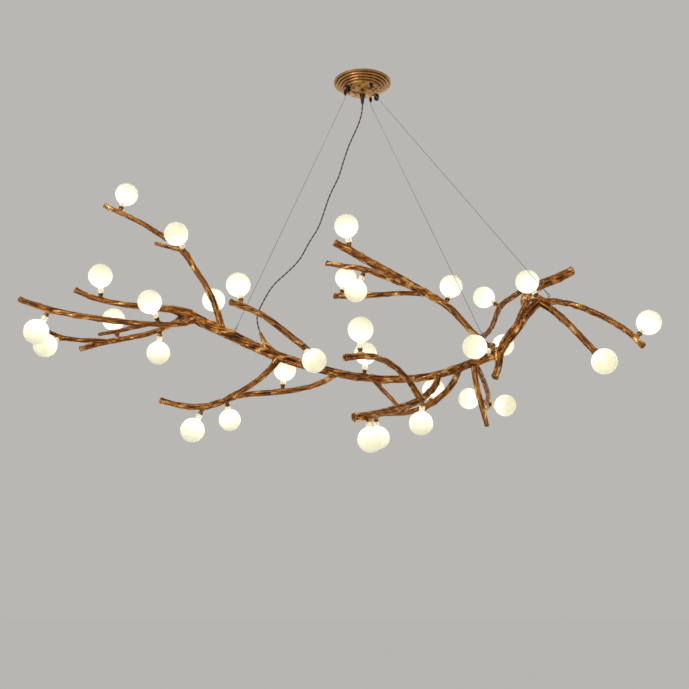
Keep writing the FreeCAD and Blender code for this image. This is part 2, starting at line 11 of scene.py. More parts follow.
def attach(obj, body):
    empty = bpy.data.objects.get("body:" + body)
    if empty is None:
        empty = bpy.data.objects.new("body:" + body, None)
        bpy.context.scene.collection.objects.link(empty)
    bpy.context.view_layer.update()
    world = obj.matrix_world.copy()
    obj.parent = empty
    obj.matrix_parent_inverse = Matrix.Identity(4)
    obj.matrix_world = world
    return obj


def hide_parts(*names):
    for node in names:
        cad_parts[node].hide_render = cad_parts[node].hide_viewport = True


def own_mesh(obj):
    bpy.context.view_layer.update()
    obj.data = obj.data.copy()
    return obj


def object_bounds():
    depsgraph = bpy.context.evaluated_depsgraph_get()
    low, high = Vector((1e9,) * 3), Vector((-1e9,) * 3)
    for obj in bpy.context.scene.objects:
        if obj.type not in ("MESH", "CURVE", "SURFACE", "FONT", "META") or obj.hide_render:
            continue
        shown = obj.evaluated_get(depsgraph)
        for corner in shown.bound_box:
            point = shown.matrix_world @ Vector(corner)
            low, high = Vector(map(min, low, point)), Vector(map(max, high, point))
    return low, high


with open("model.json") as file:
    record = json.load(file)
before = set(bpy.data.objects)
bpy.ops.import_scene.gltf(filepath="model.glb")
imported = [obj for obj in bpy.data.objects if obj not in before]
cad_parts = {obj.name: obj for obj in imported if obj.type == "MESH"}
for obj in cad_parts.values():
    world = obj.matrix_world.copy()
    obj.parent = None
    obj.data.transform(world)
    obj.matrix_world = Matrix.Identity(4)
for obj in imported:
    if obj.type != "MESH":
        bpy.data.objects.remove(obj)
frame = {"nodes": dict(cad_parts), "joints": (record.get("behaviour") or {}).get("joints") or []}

# A branch chandelier: cast bark limbs in antique gold, hung on three steel wires
# under a stepped bronze canopy, with milky globes on clear necks. Metres, +Z up.

MM = 0.001
CAD_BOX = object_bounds()
UP = Vector((0, 0, 1))

# ------------------------------------------------------------------- camera
image_width = 689
focal_pixels = 1050.0
sensor_width = 36.0
camera_place = Vector((-0.047, -2.521, -1.324))
camera_rise = math.radians(13.7)

# ------------------------------------------------------------------- studio
backdrop_colour = "#B9B7B3"
backdrop_share = 0.94         # how much of the backdrop's colour the floor shows
floor_size = 120
floor_height = -2.4
light_target = (0, 0, -0.65)
# (name, place, size, power, colour) of the soft lights
LIGHTS = [
    ("key", (-1.7, -2.2, -0.25), 0.8, 40, "#FFFFFF"),
    ("fill", (2.2, -1.8, -1.3), 2.4, 16, "#FFF3E2"),
    ("back", (0.4, 2.4, -0.2), 3.0, 22, "#FFFFFF"),
]

# -------------------------------------------------------------------- lamps
globe_radius = 30 * MM
globe_wall = 1.5 * MM
glow_at_neck = 0.95           # how white the lit glass is at the neck
glow_fall = 1.15              # and how much of that it loses up to the far side
neck_radius = 7.2 * MM
neck_bore = 5.2 * MM
neck_height = 14 * MM
neck_facets = 12
base_height = 1.5 * MM
capsule_radius = 4.2 * MM
capsule_height = 34 * MM
crown_share = 0.5             # the capsule's rounded top, as a share of its width
pin_radius = 0.35 * MM
pin_spacing = 4 * MM
pin_length = 7 * MM
pin_shank = 0.9 * pin_length  # the straight part, before the tapered end
pin_point = 0.4               # the pin's tip, as a share of its width
stem_height = 12 * MM         # the capsule's unlit foot, inside the neck
holder_height = 12 * MM       # limb surface to the holder's mouth

# --------------------------------------------------------------------- bark
limb_voxel = 1.5 * MM
limb_knots = 4.5 * MM         # how high the knots and fibres stand, and how deep the cuts go
limb_fibres = 1.5 * MM
limb_fissures = 1.3 * MM
holder_voxel = 0.8 * MM
holder_knots = 1.0 * MM
holder_fibres = 0.45 * MM
holder_fissures = 0.4 * MM
fibre_length = 42 * MM        # the run along a limb that crosses one noise cell
fibres_round = 2.3            # noise cells to each radian round a limb, about 14 in all
RUN_WAY = Vector((0.62, 0.48, 0.62))   # the way that a limb's run takes through the noise
crest_sharpness = 2.2         # how steeply a fibre falls away from its crest
crest_middle = 0.55           # height on a fibre, 1 at its crest, that keeps the limb's girth
splinter_share = 0.35         # splinters on the fibres, as a share of their height
splinter_cells = 3.1          # splinters to a fibre
knots_round = 0.8             # noise cells of the knots, to a radian and to a fibre
knots_along = 1.7
KNOT_SHIFT = Vector((7, 3, 5))         # sets the knots' noise apart from the fibres'
knot_least = 0.12             # noise below this raises no knot
fissure_cells = 1.3           # fissures to a fibre
FISSURE_SHIFT = Vector((3, 9, 1))
fissure_share = 0.11          # how near to 0 the noise opens a fissure, so its width
relief_span = 2.2             # fibre heights between a relief of 0 and a relief of 1
fissure_stain_and_shade = 0.9          # darkening in a fissure: partly stain, partly painted shade
stain_and_shade_narrowing = 1.5         # over 1, the darkening keeps to the fissure's middle
knuckle_reach = 12 * MM       # the swelling that a holder grows out of
knuckle_height = 2.6 * MM
end_reach = 15 * MM           # how far back a sawn end is knobbly
end_proud = 2 * MM            # how far out of its flat face its points may lie
end_span = 1.5                # how wide it is looked for, in its own radii
end_flare = 1.3 * MM
end_hollow = 1.6 * MM
hollow_span = 1.15            # where the hollow runs out, in radii
heart_span = 0.72             # the darkened heart of a sawn end, in radii: partly stain, partly painted shade of its hollow
heart_stain_and_shade = 0.8
facing_slope = 2              # a point is on the sawn face by the cosine between its normal
facing_start = 0.8            # and the end's direction: not at all at 0.4, fully at 0.9
end_least = 3 * MM            # radii that a sawn end can have
end_most = 14 * MM
end_flatness = 0.99999        # cosine at which two faces belong to one flat end
end_roundness = 0.9           # least share of its rim that a circle of its area measures
# (place, reach, height) of the thick burrs on the trunk
BURRS = [
    (Vector((-455, 58, -611)) * MM, 42 * MM, 2.6 * MM),
    (Vector((-412, 76, -631)) * MM, 30 * MM, 2.0 * MM),
    (Vector((-232, 113, -710)) * MM, 26 * MM, 1.8 * MM),
    (Vector((332, -18, -736)) * MM, 24 * MM, 1.6 * MM),
    (Vector((445, 18, -590)) * MM, 24 * MM, 1.6 * MM),
]

# ------------------------------------------------------------------- canopy
canopy_radius = 75 * MM
rim_height = 4 * MM
ring_width = 6.5 * MM
ring_drop = 4.5 * MM
dome_radius = 49 * MM
dome_edge = 1 * MM            # how far the hammering takes to begin
rolled_edge = 0.9 * MM

# --------------------------------------------------------- surface patterns
# A pattern's scale is in cells to the metre, or for the streaks and strands in cells to
# one carved fibre of 42 mm. The grit and the grain are too fine to show at their real
# size, a few tenths of a millimetre, so they are drawn as coarse as is said here.
streak_scale = 1.7            # streaks in the gilding, 25 mm long
strand_scale = 6.0            # strands in the wood, 7 mm long
patch_scale = 34.0            # 29 mm patches of thinner gilding
grit_scale = 420.0            # grit in the paint, drawn 2.4 mm across
dent_scale = 95.0             # hammer marks, 10.5 mm apart
tarnish_scale = 60.0          # 17 mm clouds in the lacquer
cloud_scale = 55.0            # 18 mm clouds in the opal
ripple_scale = 260.0          # 4 mm ripples in the pressed glass
# where each of the bark's four tones is pure, on its streaks and relief mixed, 0 to 1; low on the
# relief is partly stain and partly painted shade, high is partly rubbed gilt and partly painted
# highlight
furrow_tone, shade_tone, body_tone, rubbed_and_highlight_tone = 0.4, 0.47, 0.54, 0.64
# the same for the canopy's steps, from an outer edge at 0 to a corner at 1: a painted highlight,
# partly rubbed metal, at the edge and painted shade, partly stain, in the corner
edge_tone, tread_tone, corner_tone = 0.1, 0.58, 0.97
# and for its hammered dome, from the bottom of a dent to the ridges between, as painted shading of
# its facets
dent_tone, ridge_tone = 0.3, 0.6

# --------------------------------------------------------------- power cord
cord_diameter = 4 * MM
cord_exit = Vector((0, 0, -60)) * MM
cord_lead = 24 * MM
strand_diameter = 2.4 * MM
strand_pitch = 26 * MM
strand_sides = 8
CORD = [
    (-12, 6, -122), (-33, 13, -165), (-49, 20, -211), (-62, 28, -257), (-84, 35, -297),
    (-99, 43, -342), (-114, 50, -387), (-140, 57, -425), (-161, 65, -467), (-194, 71, -500),
    (-231, 78, -531), (-254, 84, -569), (-271, 86, -606),
]
cord_tip = Vector((-264, 93, -654)) * MM
cord_tip_way = Vector((-0.34, -0.26, 0.90)).normalized()

LIMBS = [
    "trunk", "limb_cut_top", "limb_upper_right", "limb_far_right", "limb_drooping_pair",
    "limb_hanging_front", "limb_hanging_back", "limb_upper_left", "limb_long_left",
    "limb_forked_left", "limb_upper_middle", "limb_lower_front", "limb_lower_back",
]


# ------------------------------------------------------------------- helpers
def only(*pieces):
    """Selects these pieces and nothing else, in object mode."""
    bpy.ops.object.select_all(action="DESELECT")
    for piece in pieces:
        piece.select_set(True)
    bpy.context.view_layer.objects.active = pieces[0]


def edit():
    """Goes into edit mode with the whole mesh selected."""
    bpy.ops.object.mode_set(mode="EDIT")
    bpy.ops.mesh.select_all(action="SELECT")


def pick_faces(piece, wanted):
    """Goes into edit mode with only the faces that a test wants selected."""
    bpy.ops.object.mode_set(mode="EDIT")
    bpy.ops.mesh.select_mode(type="FACE")
    bpy.ops.mesh.select_all(action="DESELECT")
    bpy.ops.object.mode_set(mode="OBJECT")
    for face in piece.data.polygons:
        face.select = wanted(face)
    bpy.ops.object.mode_set(mode="EDIT")


def done():
    """Leaves edit mode and gives the piece that was worked on."""
    bpy.ops.object.mode_set(mode="OBJECT")
    return bpy.context.active_object


def settle(piece):
    """Puts a piece's place into its mesh and leaves its object at the origin."""
    piece.data.transform(piece.matrix_world)
    piece.matrix_world = Matrix.Identity(4)
    return piece


def copy_of(node, name):
    """A merged copy of a CAD node's mesh as a new piece."""
    piece = bpy.data.objects.new(name, frame["nodes"][node].data.copy())
    bpy.context.scene.collection.objects.link(piece)
    only(piece)
    edit()
    bpy.ops.mesh.remove_doubles(threshold=0.01 * MM)
    return done()


def points_of(mesh):
    """A mesh's points as rows of x, y and z."""
    flat = np.zeros(len(mesh.vertices) * 3, np.float32)
    mesh.vertices.foreach_get("co", flat)
    return flat.reshape(-1, 3).astype(float)


def mark_points(mesh, name, values):
    """Keeps one number for each point, for a material to read."""
    marks = mesh.attributes.new(name, "FLOAT", "POINT")
    marks.data.foreach_set("value", values.astype(np.float32))


def linear(code):
    """An sRGB hex colour as linear RGBA."""
    parts = [int(code[i:i + 2], 16) / 255 for i in (1, 3, 5)]
    return (*(p / 12.92 if p <= 0.04045 else ((p + 0.055) / 1.055) ** 2.4 for p in parts), 1.0)


def material(name):
    """A new material, its nodes and its shader."""
    made = bpy.data.materials.new(name)
    made.use_nodes = True
    return made, made.node_tree, made.node_tree.nodes["Principled BSDF"]


def feed(tree, node, inputs):
    """Gives a node a value or a link for each input named."""
    for name, value in inputs.items():
        if isinstance(value, bpy.types.NodeSocket):
            tree.links.new(value, node.inputs[name])
        else:
            node.inputs[name].default_value = value


def add(tree, kind, inputs=None, **settings):
    """One shader node with its settings, values and links."""
    made = tree.nodes.new("ShaderNode" + kind)
    for name, value in settings.items():
        setattr(made, name, value)
    feed(tree, made, inputs or {})
    return made


def wear(piece, *finishes):
    """Gives a piece these materials in place of its own."""
    piece.data.materials.clear()
    for finish in finishes:
        piece.data.materials.append(finish)


# ----------------------------------------------------------------- materials
def gilded_bark(name, dark, shade, body, rubbed_and_highlight):
    """Cast resin bark under antique gold paint. Its tone follows the carved relief: dark in the
    furrows, partly stain and partly painted shade, and bright on the raised fibres, partly gilt
    rubbed back and partly painted highlight, under a half glossy finish."""
    made, tree, shader = material(name)
    fibre = add(tree, "Attribute", attribute_name="fibre").outputs["Vector"]
    relief = add(tree, "Attribute", attribute_name="relief").outputs["Fac"]
    stain_and_shade = add(tree, "Attribute", attribute_name="stain_and_shade").outputs["Fac"]
    place = add(tree, "TexCoord").outputs["Object"]
    streak = add(tree, "TexNoise", {"Vector": fibre, "Scale": streak_scale, "Detail": 7.0,
                                    "Roughness": 0.78}).outputs["Fac"]
    strand = add(tree, "TexNoise", {"Vector": fibre, "Scale": strand_scale, "Detail": 4.0})
    patch = add(tree, "TexNoise", {"Vector": place, "Scale": patch_scale, "Detail": 3.0})
    grit = add(tree, "TexNoise", {"Vector": place, "Scale": grit_scale, "Detail": 3.0})
    # the carved relief sets the tone: painted shade low in the furrows and painted highlight high
    # on the crests, mixed with the real streaks and patches of the gilding
    height = add(tree, "Mix", {"Factor": 0.3, "A": streak, "B": relief}).outputs["Result"]
    lively = add(tree, "Mix", {"Factor": 0.16, "A": height,
                               "B": patch.outputs["Fac"]}).outputs["Result"]
    tone = add(tree, "ValToRGB", {"Fac": lively})
    stops = tone.color_ramp.elements
    stops[0].position, stops[0].color = furrow_tone, linear(dark)
    stops[1].position, stops[1].color = rubbed_and_highlight_tone, linear(rubbed_and_highlight)
    stops.new(shade_tone).color = linear(shade)
    stops.new(body_tone).color = linear(body)
    # fissures and sawn hearts are darkened here: partly stain, partly painted shade
    stained_and_shaded = add(tree, "Mix", {"Factor": stain_and_shade, "A": tone.outputs["Color"], "B": linear(dark)},
                  data_type="RGBA")
    gloss = add(tree, "MapRange", {"Value": lively, "From Min": 0.36, "From Max": 0.66,
                                   "To Min": 0.6, "To Max": 0.27})
    gilt = add(tree, "MapRange", {"Value": lively, "From Min": 0.38, "From Max": 0.62,
                                  "To Min": 0.4, "To Max": 0.85})
    ridges = add(tree, "Bump", {"Height": streak, "Strength": 0.9, "Distance": 2.0 * MM})
    lines = add(tree, "Bump", {"Height": strand.outputs["Fac"], "Strength": 0.5,
                               "Distance": 0.8 * MM, "Normal": ridges.outputs["Normal"]})
    grain = add(tree, "Bump", {"Height": grit.outputs["Fac"], "Strength": 0.3,
                               "Distance": 0.3 * MM, "Normal": lines.outputs["Normal"]})
    feed(tree, shader, {"Base Color": stained_and_shaded.outputs["Result"],
                        "Roughness": gloss.outputs["Result"],
                        "Metallic": gilt.outputs["Result"], "Normal": grain.outputs["Normal"],
                        "Specular IOR Level": 0.35, "Coat Weight": 0.12,
                        "Coat Roughness": 0.22})
    return made


def hammered_bronze():
    """Spun steel under antique bronze lacquer, its dome hammered: the steps' edges are painted
    bright, partly rubbed metal and partly painted highlight, and their corners dark, partly stain
    and partly painted shade; the dome's soft facets are painted shading, dark in the dents and
    bright on the ridges, over clouds of tarnish."""
    made, tree, shader = material("hammered_antique_bronze")
    place = add(tree, "TexCoord").outputs["Object"]
    parts = add(tree, "SeparateXYZ", {"Vector": place})
    flat = add(tree, "VectorMath", {0: place, 1: (1.0, 1.0, 0.0)}, operation="MULTIPLY")
    radius = add(tree, "VectorMath", {0: flat.outputs["Vector"]},
                 operation="LENGTH").outputs["Value"]
    steps_in = add(tree, "MapRange", {"Value": radius, "From Min": canopy_radius,
                                      "From Max": canopy_radius - ring_width}, clamp=False)
    steps_down = add(tree, "MapRange", {"Value": parts.outputs["Z"], "From Min": -rim_height,
                                        "From Max": -rim_height - ring_drop}, clamp=False)
    corner = add(tree, "Math", {0: steps_in.outputs["Result"], 1: steps_down.outputs["Result"]},
                 operation="SUBTRACT")
    # the steps' painted light: a highlight at each outer edge, partly rubbed metal, and painted
    # shade in each corner, partly stain
    rings = add(tree, "ValToRGB", {"Fac": corner.outputs["Value"]})
    stops = rings.color_ramp.elements
    stops[0].position, stops[0].color = edge_tone, linear("#CC9C62")
    stops[1].position, stops[1].color = corner_tone, linear("#3A1E0C")
    stops.new(tread_tone).color = linear("#8C5828")
    dents = add(tree, "TexVoronoi", {"Vector": place, "Scale": dent_scale}).outputs["Distance"]
    tarnish = add(tree, "TexNoise", {"Vector": place, "Scale": tarnish_scale, "Detail": 5.0})
    # the dome's facets as painted shading, dark at a dent's bottom and bright on its ridges, mixed
    # with real tarnish
    facet = add(tree, "Mix", {"Factor": 0.5, "A": tarnish.outputs["Fac"], "B": dents})
    mottle = add(tree, "ValToRGB", {"Fac": facet.outputs["Result"]})
    stops = mottle.color_ramp.elements
    stops[0].position, stops[0].color = dent_tone, linear("#5A3212")
    stops[1].position, stops[1].color = ridge_tone, linear("#CE9A56")
    on_dome = add(tree, "MapRange", {"Value": radius, "From Min": dome_radius,
                                     "From Max": dome_radius - dome_edge}).outputs["Result"]
    tone = add(tree, "Mix", {"Factor": on_dome, "A": rings.outputs["Color"],
                             "B": mottle.outputs["Color"]}, data_type="RGBA")
    tarnish_and_painted_light = add(tree, "Mix", {"Factor": 0.25, "A": tone.outputs["Result"],
                             "B": mottle.outputs["Color"]}, data_type="RGBA")
    beaten = add(tree, "Math", {0: dents, 1: on_dome}, operation="MULTIPLY")
    bump = add(tree, "Bump", {"Height": beaten.outputs["Value"], "Strength": 0.9,
                              "Distance": 4 * MM})
    feed(tree, shader, {"Base Color": tarnish_and_painted_light.outputs["Result"], "Normal": bump.outputs["Normal"],
                        "Metallic": 0.85, "Roughness": 0.4})
    return made


def grained(name, low, high, scale, roughness, metallic=0.0):
    """A plain finish with the fine grain that its making leaves: two close colours and
    a shallow bump."""
    made, tree, shader = material(name)
    place = add(tree, "TexCoord").outputs["Object"]
    grain = add(tree, "TexNoise", {"Vector": place, "Scale": scale, "Detail": 4.0}).outputs["Fac"]
    tone = add(tree, "Mix", {"Factor": grain, "A": linear(low), "B": linear(high)},
               data_type="RGBA")
    bump = add(tree, "Bump", {"Height": grain, "Strength": 0.3, "Distance": 0.1 * MM})
    feed(tree, shader, {"Base Color": tone.outputs["Result"], "Normal": bump.outputs["Normal"],
                        "Roughness": roughness, "Metallic": metallic})
    return made


def opal_glass():
    """Blown opal glass, lit from inside: milky white by the hot capsule at its neck and
    creamy over its far side."""
    made, tree, shader = material("blown_opal_glass")
    place = add(tree, "TexCoord").outputs["Object"]
    glow = add(tree, "Attribute", attribute_name="glow").outputs["Fac"]
    cloud = add(tree, "TexNoise", {"Vector": place, "Scale": cloud_scale, "Detail": 3.0})
    warm = add(tree, "Mix", {"Factor": glow, "A": linear("#ABA898"), "B": linear("#FDFCFA")},
               data_type="RGBA")
    thin = add(tree, "MapRange", {"Value": cloud.outputs["Fac"], "To Max": 0.25})
    milk = add(tree, "Mix", {"Factor": thin.outputs["Result"], "A": warm.outputs["Result"],
                             "B": linear("#A8A490")}, data_type="RGBA")
    feed(tree, shader, {"Emission Color": milk.outputs["Result"], "Emission Strength": 0.7,
                        "Base Color": linear("#CBC9B6"), "Transmission Weight": 0.55,
                        "Roughness": 0.5, "IOR": 1.2})
    return made


def neck_glass():
    """Clear pressed glass, faceted, with a faint warm glow painted into it for the light of the
    capsule.
    """
    made, tree, shader = material("clear_pressed_glass")
    place = add(tree, "TexCoord").outputs["Object"]
    ripple = add(tree, "TexNoise", {"Vector": place, "Scale": ripple_scale, "Detail": 2.0})
    bump = add(tree, "Bump", {"Height": ripple.outputs["Fac"], "Strength": 0.25,
                              "Distance": 0.3 * MM})
    # the faint emission is a painted glow for the capsule's light in the glass
    feed(tree, shader, {"Normal": bump.outputs["Normal"], "Base Color": linear("#FFF8E8"),
                        "Emission Color": linear("#FFF0D4"), "Emission Strength": 0.1,
                        "Transmission Weight": 0.92, "Roughness": 0.05, "IOR": 1.5})
    return made


def lit_capsule():
    """Frosted glass round the light itself: so bright that its own surface hardly shows."""
    made, tree, shader = material("frosted_lit_capsule")
    feed(tree, shader, {"Base Color": linear("#FFF8E8"), "Emission Color": linear("#FFF6E2"),
                        "Emission Strength": 8.0, "Roughness": 0.5})
    return made


# the first colour is the dark of stain and painted shade in the furrows, the last the rubbed gilt
# and painted highlight on the crests
BARK = gilded_bark("antique_gold_bark", "#2A1204", "#7E440E", "#C07824", "#FFD084")
HOLDER_BARK = gilded_bark("dark_twig_bark", "#241006", "#60340E", "#A06624", "#EAB25E")
BRONZE = hammered_bronze()
OPAL = opal_glass()
NECK = neck_glass()
CAPSULE = lit_capsule()

# Pressed and fired steatite: a dull, warm white with faint specks, drawn 1.7 mm across.
STEM = grained("white_steatite_foot", "#E8DCC0", "#F8F0DC", scale=600.0, roughness=0.5)
# Nickel plate on drawn pins: pale and bright, its draw marks drawn 1.1 mm across.
PIN = grained("nickel_pin", "#A8A8A4", "#D2D2CE", scale=900.0, roughness=0.3, metallic=1.0)
# Fine steel strands laid into a wire: satin grey, with a painted glint every 0.7 mm in its lighter
# grey.
WIRE = grained("stranded_steel_wire", "#66686A", "#9A9C9E", scale=1500.0, roughness=0.42,
               metallic=0.7)
# Blackened, turned steel: nearly black with soft highlights, its bloom 2 mm across.
BLACK_STEEL = grained("blackened_steel", "#120E0C", "#2C221C", scale=500.0, roughness=0.38,
                      metallic=0.6)
# Zinc plate on folded steel: light grey, with a spangle 4 mm across.
ZINC = grained("zinc_plated_steel", "#9A9C9E", "#C6C8C8", scale=240.0, roughness=0.4,
               metallic=0.9)
# Moulded polycarbonate: a flat, even white, its mould's texture drawn 1.4 mm across.
WHITE_PLASTIC = grained("white_moulded_polycarbonate", "#DAD9D4", "#ECEBE6", scale=700.0,
                        roughness=0.5)
# Moulded nylon: satin black, its mould's texture drawn 1.4 mm across.
BLACK_PLASTIC = grained("black_moulded_nylon", "#0B0A0A", "#1C1A19", scale=700.0,
                        roughness=0.45)
# Extruded insulation on the cord's two cores: one dark, one tan, both dull, mottled 1.7 mm.
DARK_STRAND = grained("dark_brown_insulation", "#22120A", "#3A2412", scale=600.0, roughness=0.5)
TAN_STRAND = grained("tan_insulation", "#4E3016", "#7C5228", scale=600.0, roughness=0.5)


# ------------------------------------------------------------- limbs and bark
def run_along(piece):
    """Each point's distance over the surface from one far tip of its part, so along it."""
    mesh = piece.data
    points = points_of(mesh)
    near = [[] for point in points]
    for edge in mesh.edges:
        a, b = edge.vertices
        gap = float(np.linalg.norm(points[a] - points[b]))
        near[a].append((b, gap))
        near[b].append((a, gap))

    def spread(start):
        far = {start: 0.0}
        queue = [(0.0, start)]
        while queue:
            run, at = heapq.heappop(queue)
            if run > far[at]:
                continue
            for other, gap in near[at]:
                if run + gap < far.get(other, math.inf):
                    far[other] = run + gap
                    heapq.heappush(queue, (run + gap, other))
        return far

    runs = np.full(len(points), -1.0)
    for start in range(len(points)):
        if runs[start] < 0:
            reached = spread(start)
            tip = max(reached, key=reached.get)
            for at, run in spread(tip).items():
                runs[at] = run
    return runs


def sawn_ends(piece):
    """The middle, direction and radius of each flat end that a limb was sawn off at."""
    shape = bmesh.new()
    shape.from_mesh(piece.data)
    shape.normal_update()
    seen = set()
    ends = []
    for first in shape.faces:
        if first in seen:
            continue
        flat = [first]
        seen.add(first)
        for face in flat:
            for edge in face.edges:
                for other in edge.link_faces:
                    if other not in seen and other.normal.dot(first.normal) > end_flatness:
                        seen.add(other)
                        flat.append(other)
        area = sum(face.calc_area() for face in flat)
        group = set(flat)
        rim = sum(edge.calc_length() for face in flat for edge in face.edges
                  if sum(other in group for other in edge.link_faces) == 1)
        radius = math.sqrt(area / math.pi)
        if end_least < radius < end_most and 2 * math.pi * radius > end_roundness * rim:
            middle = sum((face.calc_center_median() * face.calc_area() for face in flat), Vector())
            ends.append((middle / area, first.normal.copy(), radius))
    shape.free()
    return ends


def carve_bark(piece, voxel, knots, rib, cut, seats=()):
    """Remeshes a piece evenly, then raises fibres, knots, burrs and a knuckle under each
    holder's seat, cuts fissures, and flares and hollows the sawn ends."""
    ends = sawn_ends(piece)
    only(piece)
    remesh = piece.modifiers.new("even", "REMESH")
    remesh.mode = "VOXEL"
    remesh.voxel_size = voxel
    bpy.ops.object.modifier_apply(modifier=remesh.name)
    soften = piece.modifiers.new("soften", "SMOOTH")
    soften.factor = 0.5
    soften.iterations = 4
    bpy.ops.object.modifier_apply(modifier=soften.name)
    bpy.ops.object.shade_smooth()
    mesh = piece.data
    runs = run_along(piece)
    points = points_of(mesh)
    sides = np.array([normal.vector for normal in mesh.vertex_normals])
    fibre = np.zeros((len(points), 3), np.float32)
    lift = np.zeros(len(points))
    split = np.zeros(len(points))
    for i, side in enumerate(sides):
        side = Vector(side)
        along = RUN_WAY * (runs[i] / fibre_length)
        cell = side * fibres_round + along
        crest = 1 - crest_sharpness * abs(noise.noise(cell))
        splinter = splinter_share * noise.noise(cell * splinter_cells)
        knob = noise.noise(side * knots_round + along * knots_along + KNOT_SHIFT)
        crack = abs(noise.noise(cell * fissure_cells + FISSURE_SHIFT))
        split[i] = max(0.0, 1 - crack / fissure_share)
        lift[i] = rib * (crest - crest_middle + splinter) + knots * max(0.0, knob - knot_least)
        fibre[i] = cell
    relief = np.clip(0.5 + lift / (relief_span * rib), 0, 1)
    lift -= cut * split
    swellings = BURRS + [(seat, knuckle_reach, knuckle_height) for seat in seats]
    for place, reach, height in swellings:
        gap = np.linalg.norm(points - np.array(place), axis=1)
        lift += height * np.clip(1 - (gap / reach) ** 2, 0, 1) ** 2
    # the fissures are darkened: partly stain, partly painted shade in the cracks
    stain_and_shade = fissure_stain_and_shade * split ** stain_and_shade_narrowing
    for middle, way, radius in ends:
        gap = points - np.array(middle)
        deep = gap @ np.array(way)
        out = np.linalg.norm(gap - deep[:, None] * np.array(way), axis=1)
        by_end = (deep > -end_reach) & (deep < end_proud) & (out < end_span * radius)
        facing = np.clip(sides @ np.array(way) * facing_slope - facing_start, 0, 1) * by_end
        lift += end_flare * by_end * (1 + deep / end_reach) * (1 - facing)
        lift -= end_hollow * facing * np.clip(hollow_span - out / radius, 0, 1)
        # the sawn end's heart is darkened: partly stain, partly painted shade in its hollow
        stain_and_shade = np.maximum(stain_and_shade, heart_stain_and_shade * facing * (out < heart_span * radius))
    points = np.clip(points + sides * lift[:, None], CAD_BOX[0], CAD_BOX[1])
    mesh.vertices.foreach_set("co", points.astype(np.float32).ravel())
    cells = mesh.attributes.new("fibre", "FLOAT_VECTOR", "POINT")
    cells.data.foreach_set("vector", fibre.ravel())
    mark_points(mesh, "relief", relief)
    mark_points(mesh, "stain_and_shade", stain_and_shade)
    mesh.update()


def make_limbs():
    """Each casting again as bark, with a swelling under every holder."""
    seats = []
    for joint in frame["joints"]:
        if joint["child"].startswith("lamp_"):
            place = lamp_place(joint["child"], Vector(joint["axis"]))
            seats.append(place @ Vector((0, 0, -holder_height)))
    for node in LIMBS:
        piece = copy_of(node, node + "_bark")
        carve_bark(piece, limb_voxel, limb_knots, limb_fibres, limb_fissures, seats)
        wear(piece, BARK)
        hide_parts(node)
        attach(piece, "tree")


def make_holders():
    """The holders again as dark twigs, with finer bark than the limbs."""
    piece = copy_of("lamp_holders", "twig_holders")
    carve_bark(piece, holder_voxel, holder_knots, holder_fibres, holder_fissures)
    wear(piece, HOLDER_BARK)
    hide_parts("lamp_holders")
    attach(piece, "tree")


# -------------------------------------------------------------------- lamps
def make_globe():
    """A blown globe, opened at the bottom, standing on its neck."""
    centre = neck_height + math.sqrt(globe_radius ** 2 - neck_radius ** 2)
    bpy.ops.mesh.primitive_uv_sphere_add(segments=48, ring_count=32, radius=globe_radius,
                                         location=(0, 0, centre))
    globe = settle(bpy.context.active_object)
    edit()
    bpy.ops.mesh.bisect(plane_co=(0, 0, neck_height), plane_no=(0, 0, 1), clear_inner=True)
    done()
    only(globe)
    wall = globe.modifiers.new("wall", "SOLIDIFY")
    wall.thickness = globe_wall
    wall.offset = -1
    bpy.ops.object.modifier_apply(modifier=wall.name)
    bpy.ops.object.shade_smooth()
    rise = (points_of(globe.data)[:, 2] - neck_height) / (2 * globe_radius)
    mark_points(globe.data, "glow", np.clip(glow_at_neck - glow_fall * rise, 0, 1))
    wear(globe, OPAL)
    return globe


def make_neck():
    """A faceted glass sleeve, open at both ends, with softened edges."""
    bpy.ops.mesh.primitive_cylinder_add(vertices=neck_facets, radius=neck_radius,
                                        depth=neck_height - base_height,
                                        location=(0, 0, (neck_height + base_height) / 2))
    neck = settle(bpy.context.active_object)
    pick_faces(neck, lambda face: abs(face.normal.z) > 0.5)
    bpy.ops.mesh.inset(thickness=neck_radius - neck_bore)
    bpy.ops.mesh.delete(type="FACE")
    bpy.ops.mesh.select_mode(type="EDGE")
    bpy.ops.mesh.select_all(action="DESELECT")
    bpy.ops.mesh.select_non_manifold()
    bpy.ops.mesh.bridge_edge_loops()
    edit()
    bpy.ops.mesh.normals_make_consistent()
    done()
    bevel = neck.modifiers.new("worn edges", "BEVEL")
    bevel.width = 0.3 * MM
    bevel.segments = 2
    bpy.ops.object.modifier_apply(modifier=bevel.name)
    wear(neck, NECK)
    return neck


def make_capsule():
    """The capsule on its round base: an unlit foot in the neck, then the lit, rounded top."""
    bpy.ops.mesh.primitive_cylinder_add(vertices=24, radius=neck_radius, depth=base_height,
                                        location=(0, 0, base_height / 2))
    capsule = settle(bpy.context.active_object)
    pick_faces(capsule, lambda face: face.normal.z > 0.5)
    bpy.ops.mesh.inset(thickness=neck_radius - capsule_radius)
    rises = (stem_height - base_height, capsule_height - stem_height - capsule_radius / 2,
             capsule_radius / 2)
    for rise in rises:
        bpy.ops.mesh.extrude_region_move(TRANSFORM_OT_translate={"value": (0, 0, rise)})
    bpy.ops.transform.resize(value=(crown_share, crown_share, 1),
                             center_override=(0, 0, capsule_height))
    done()
    wear(capsule, STEM, CAPSULE)
    for face in capsule.data.polygons:
        face.material_index = int(face.center.z > stem_height)
    bpy.ops.object.shade_smooth_by_angle(angle=math.radians(40))
    return capsule


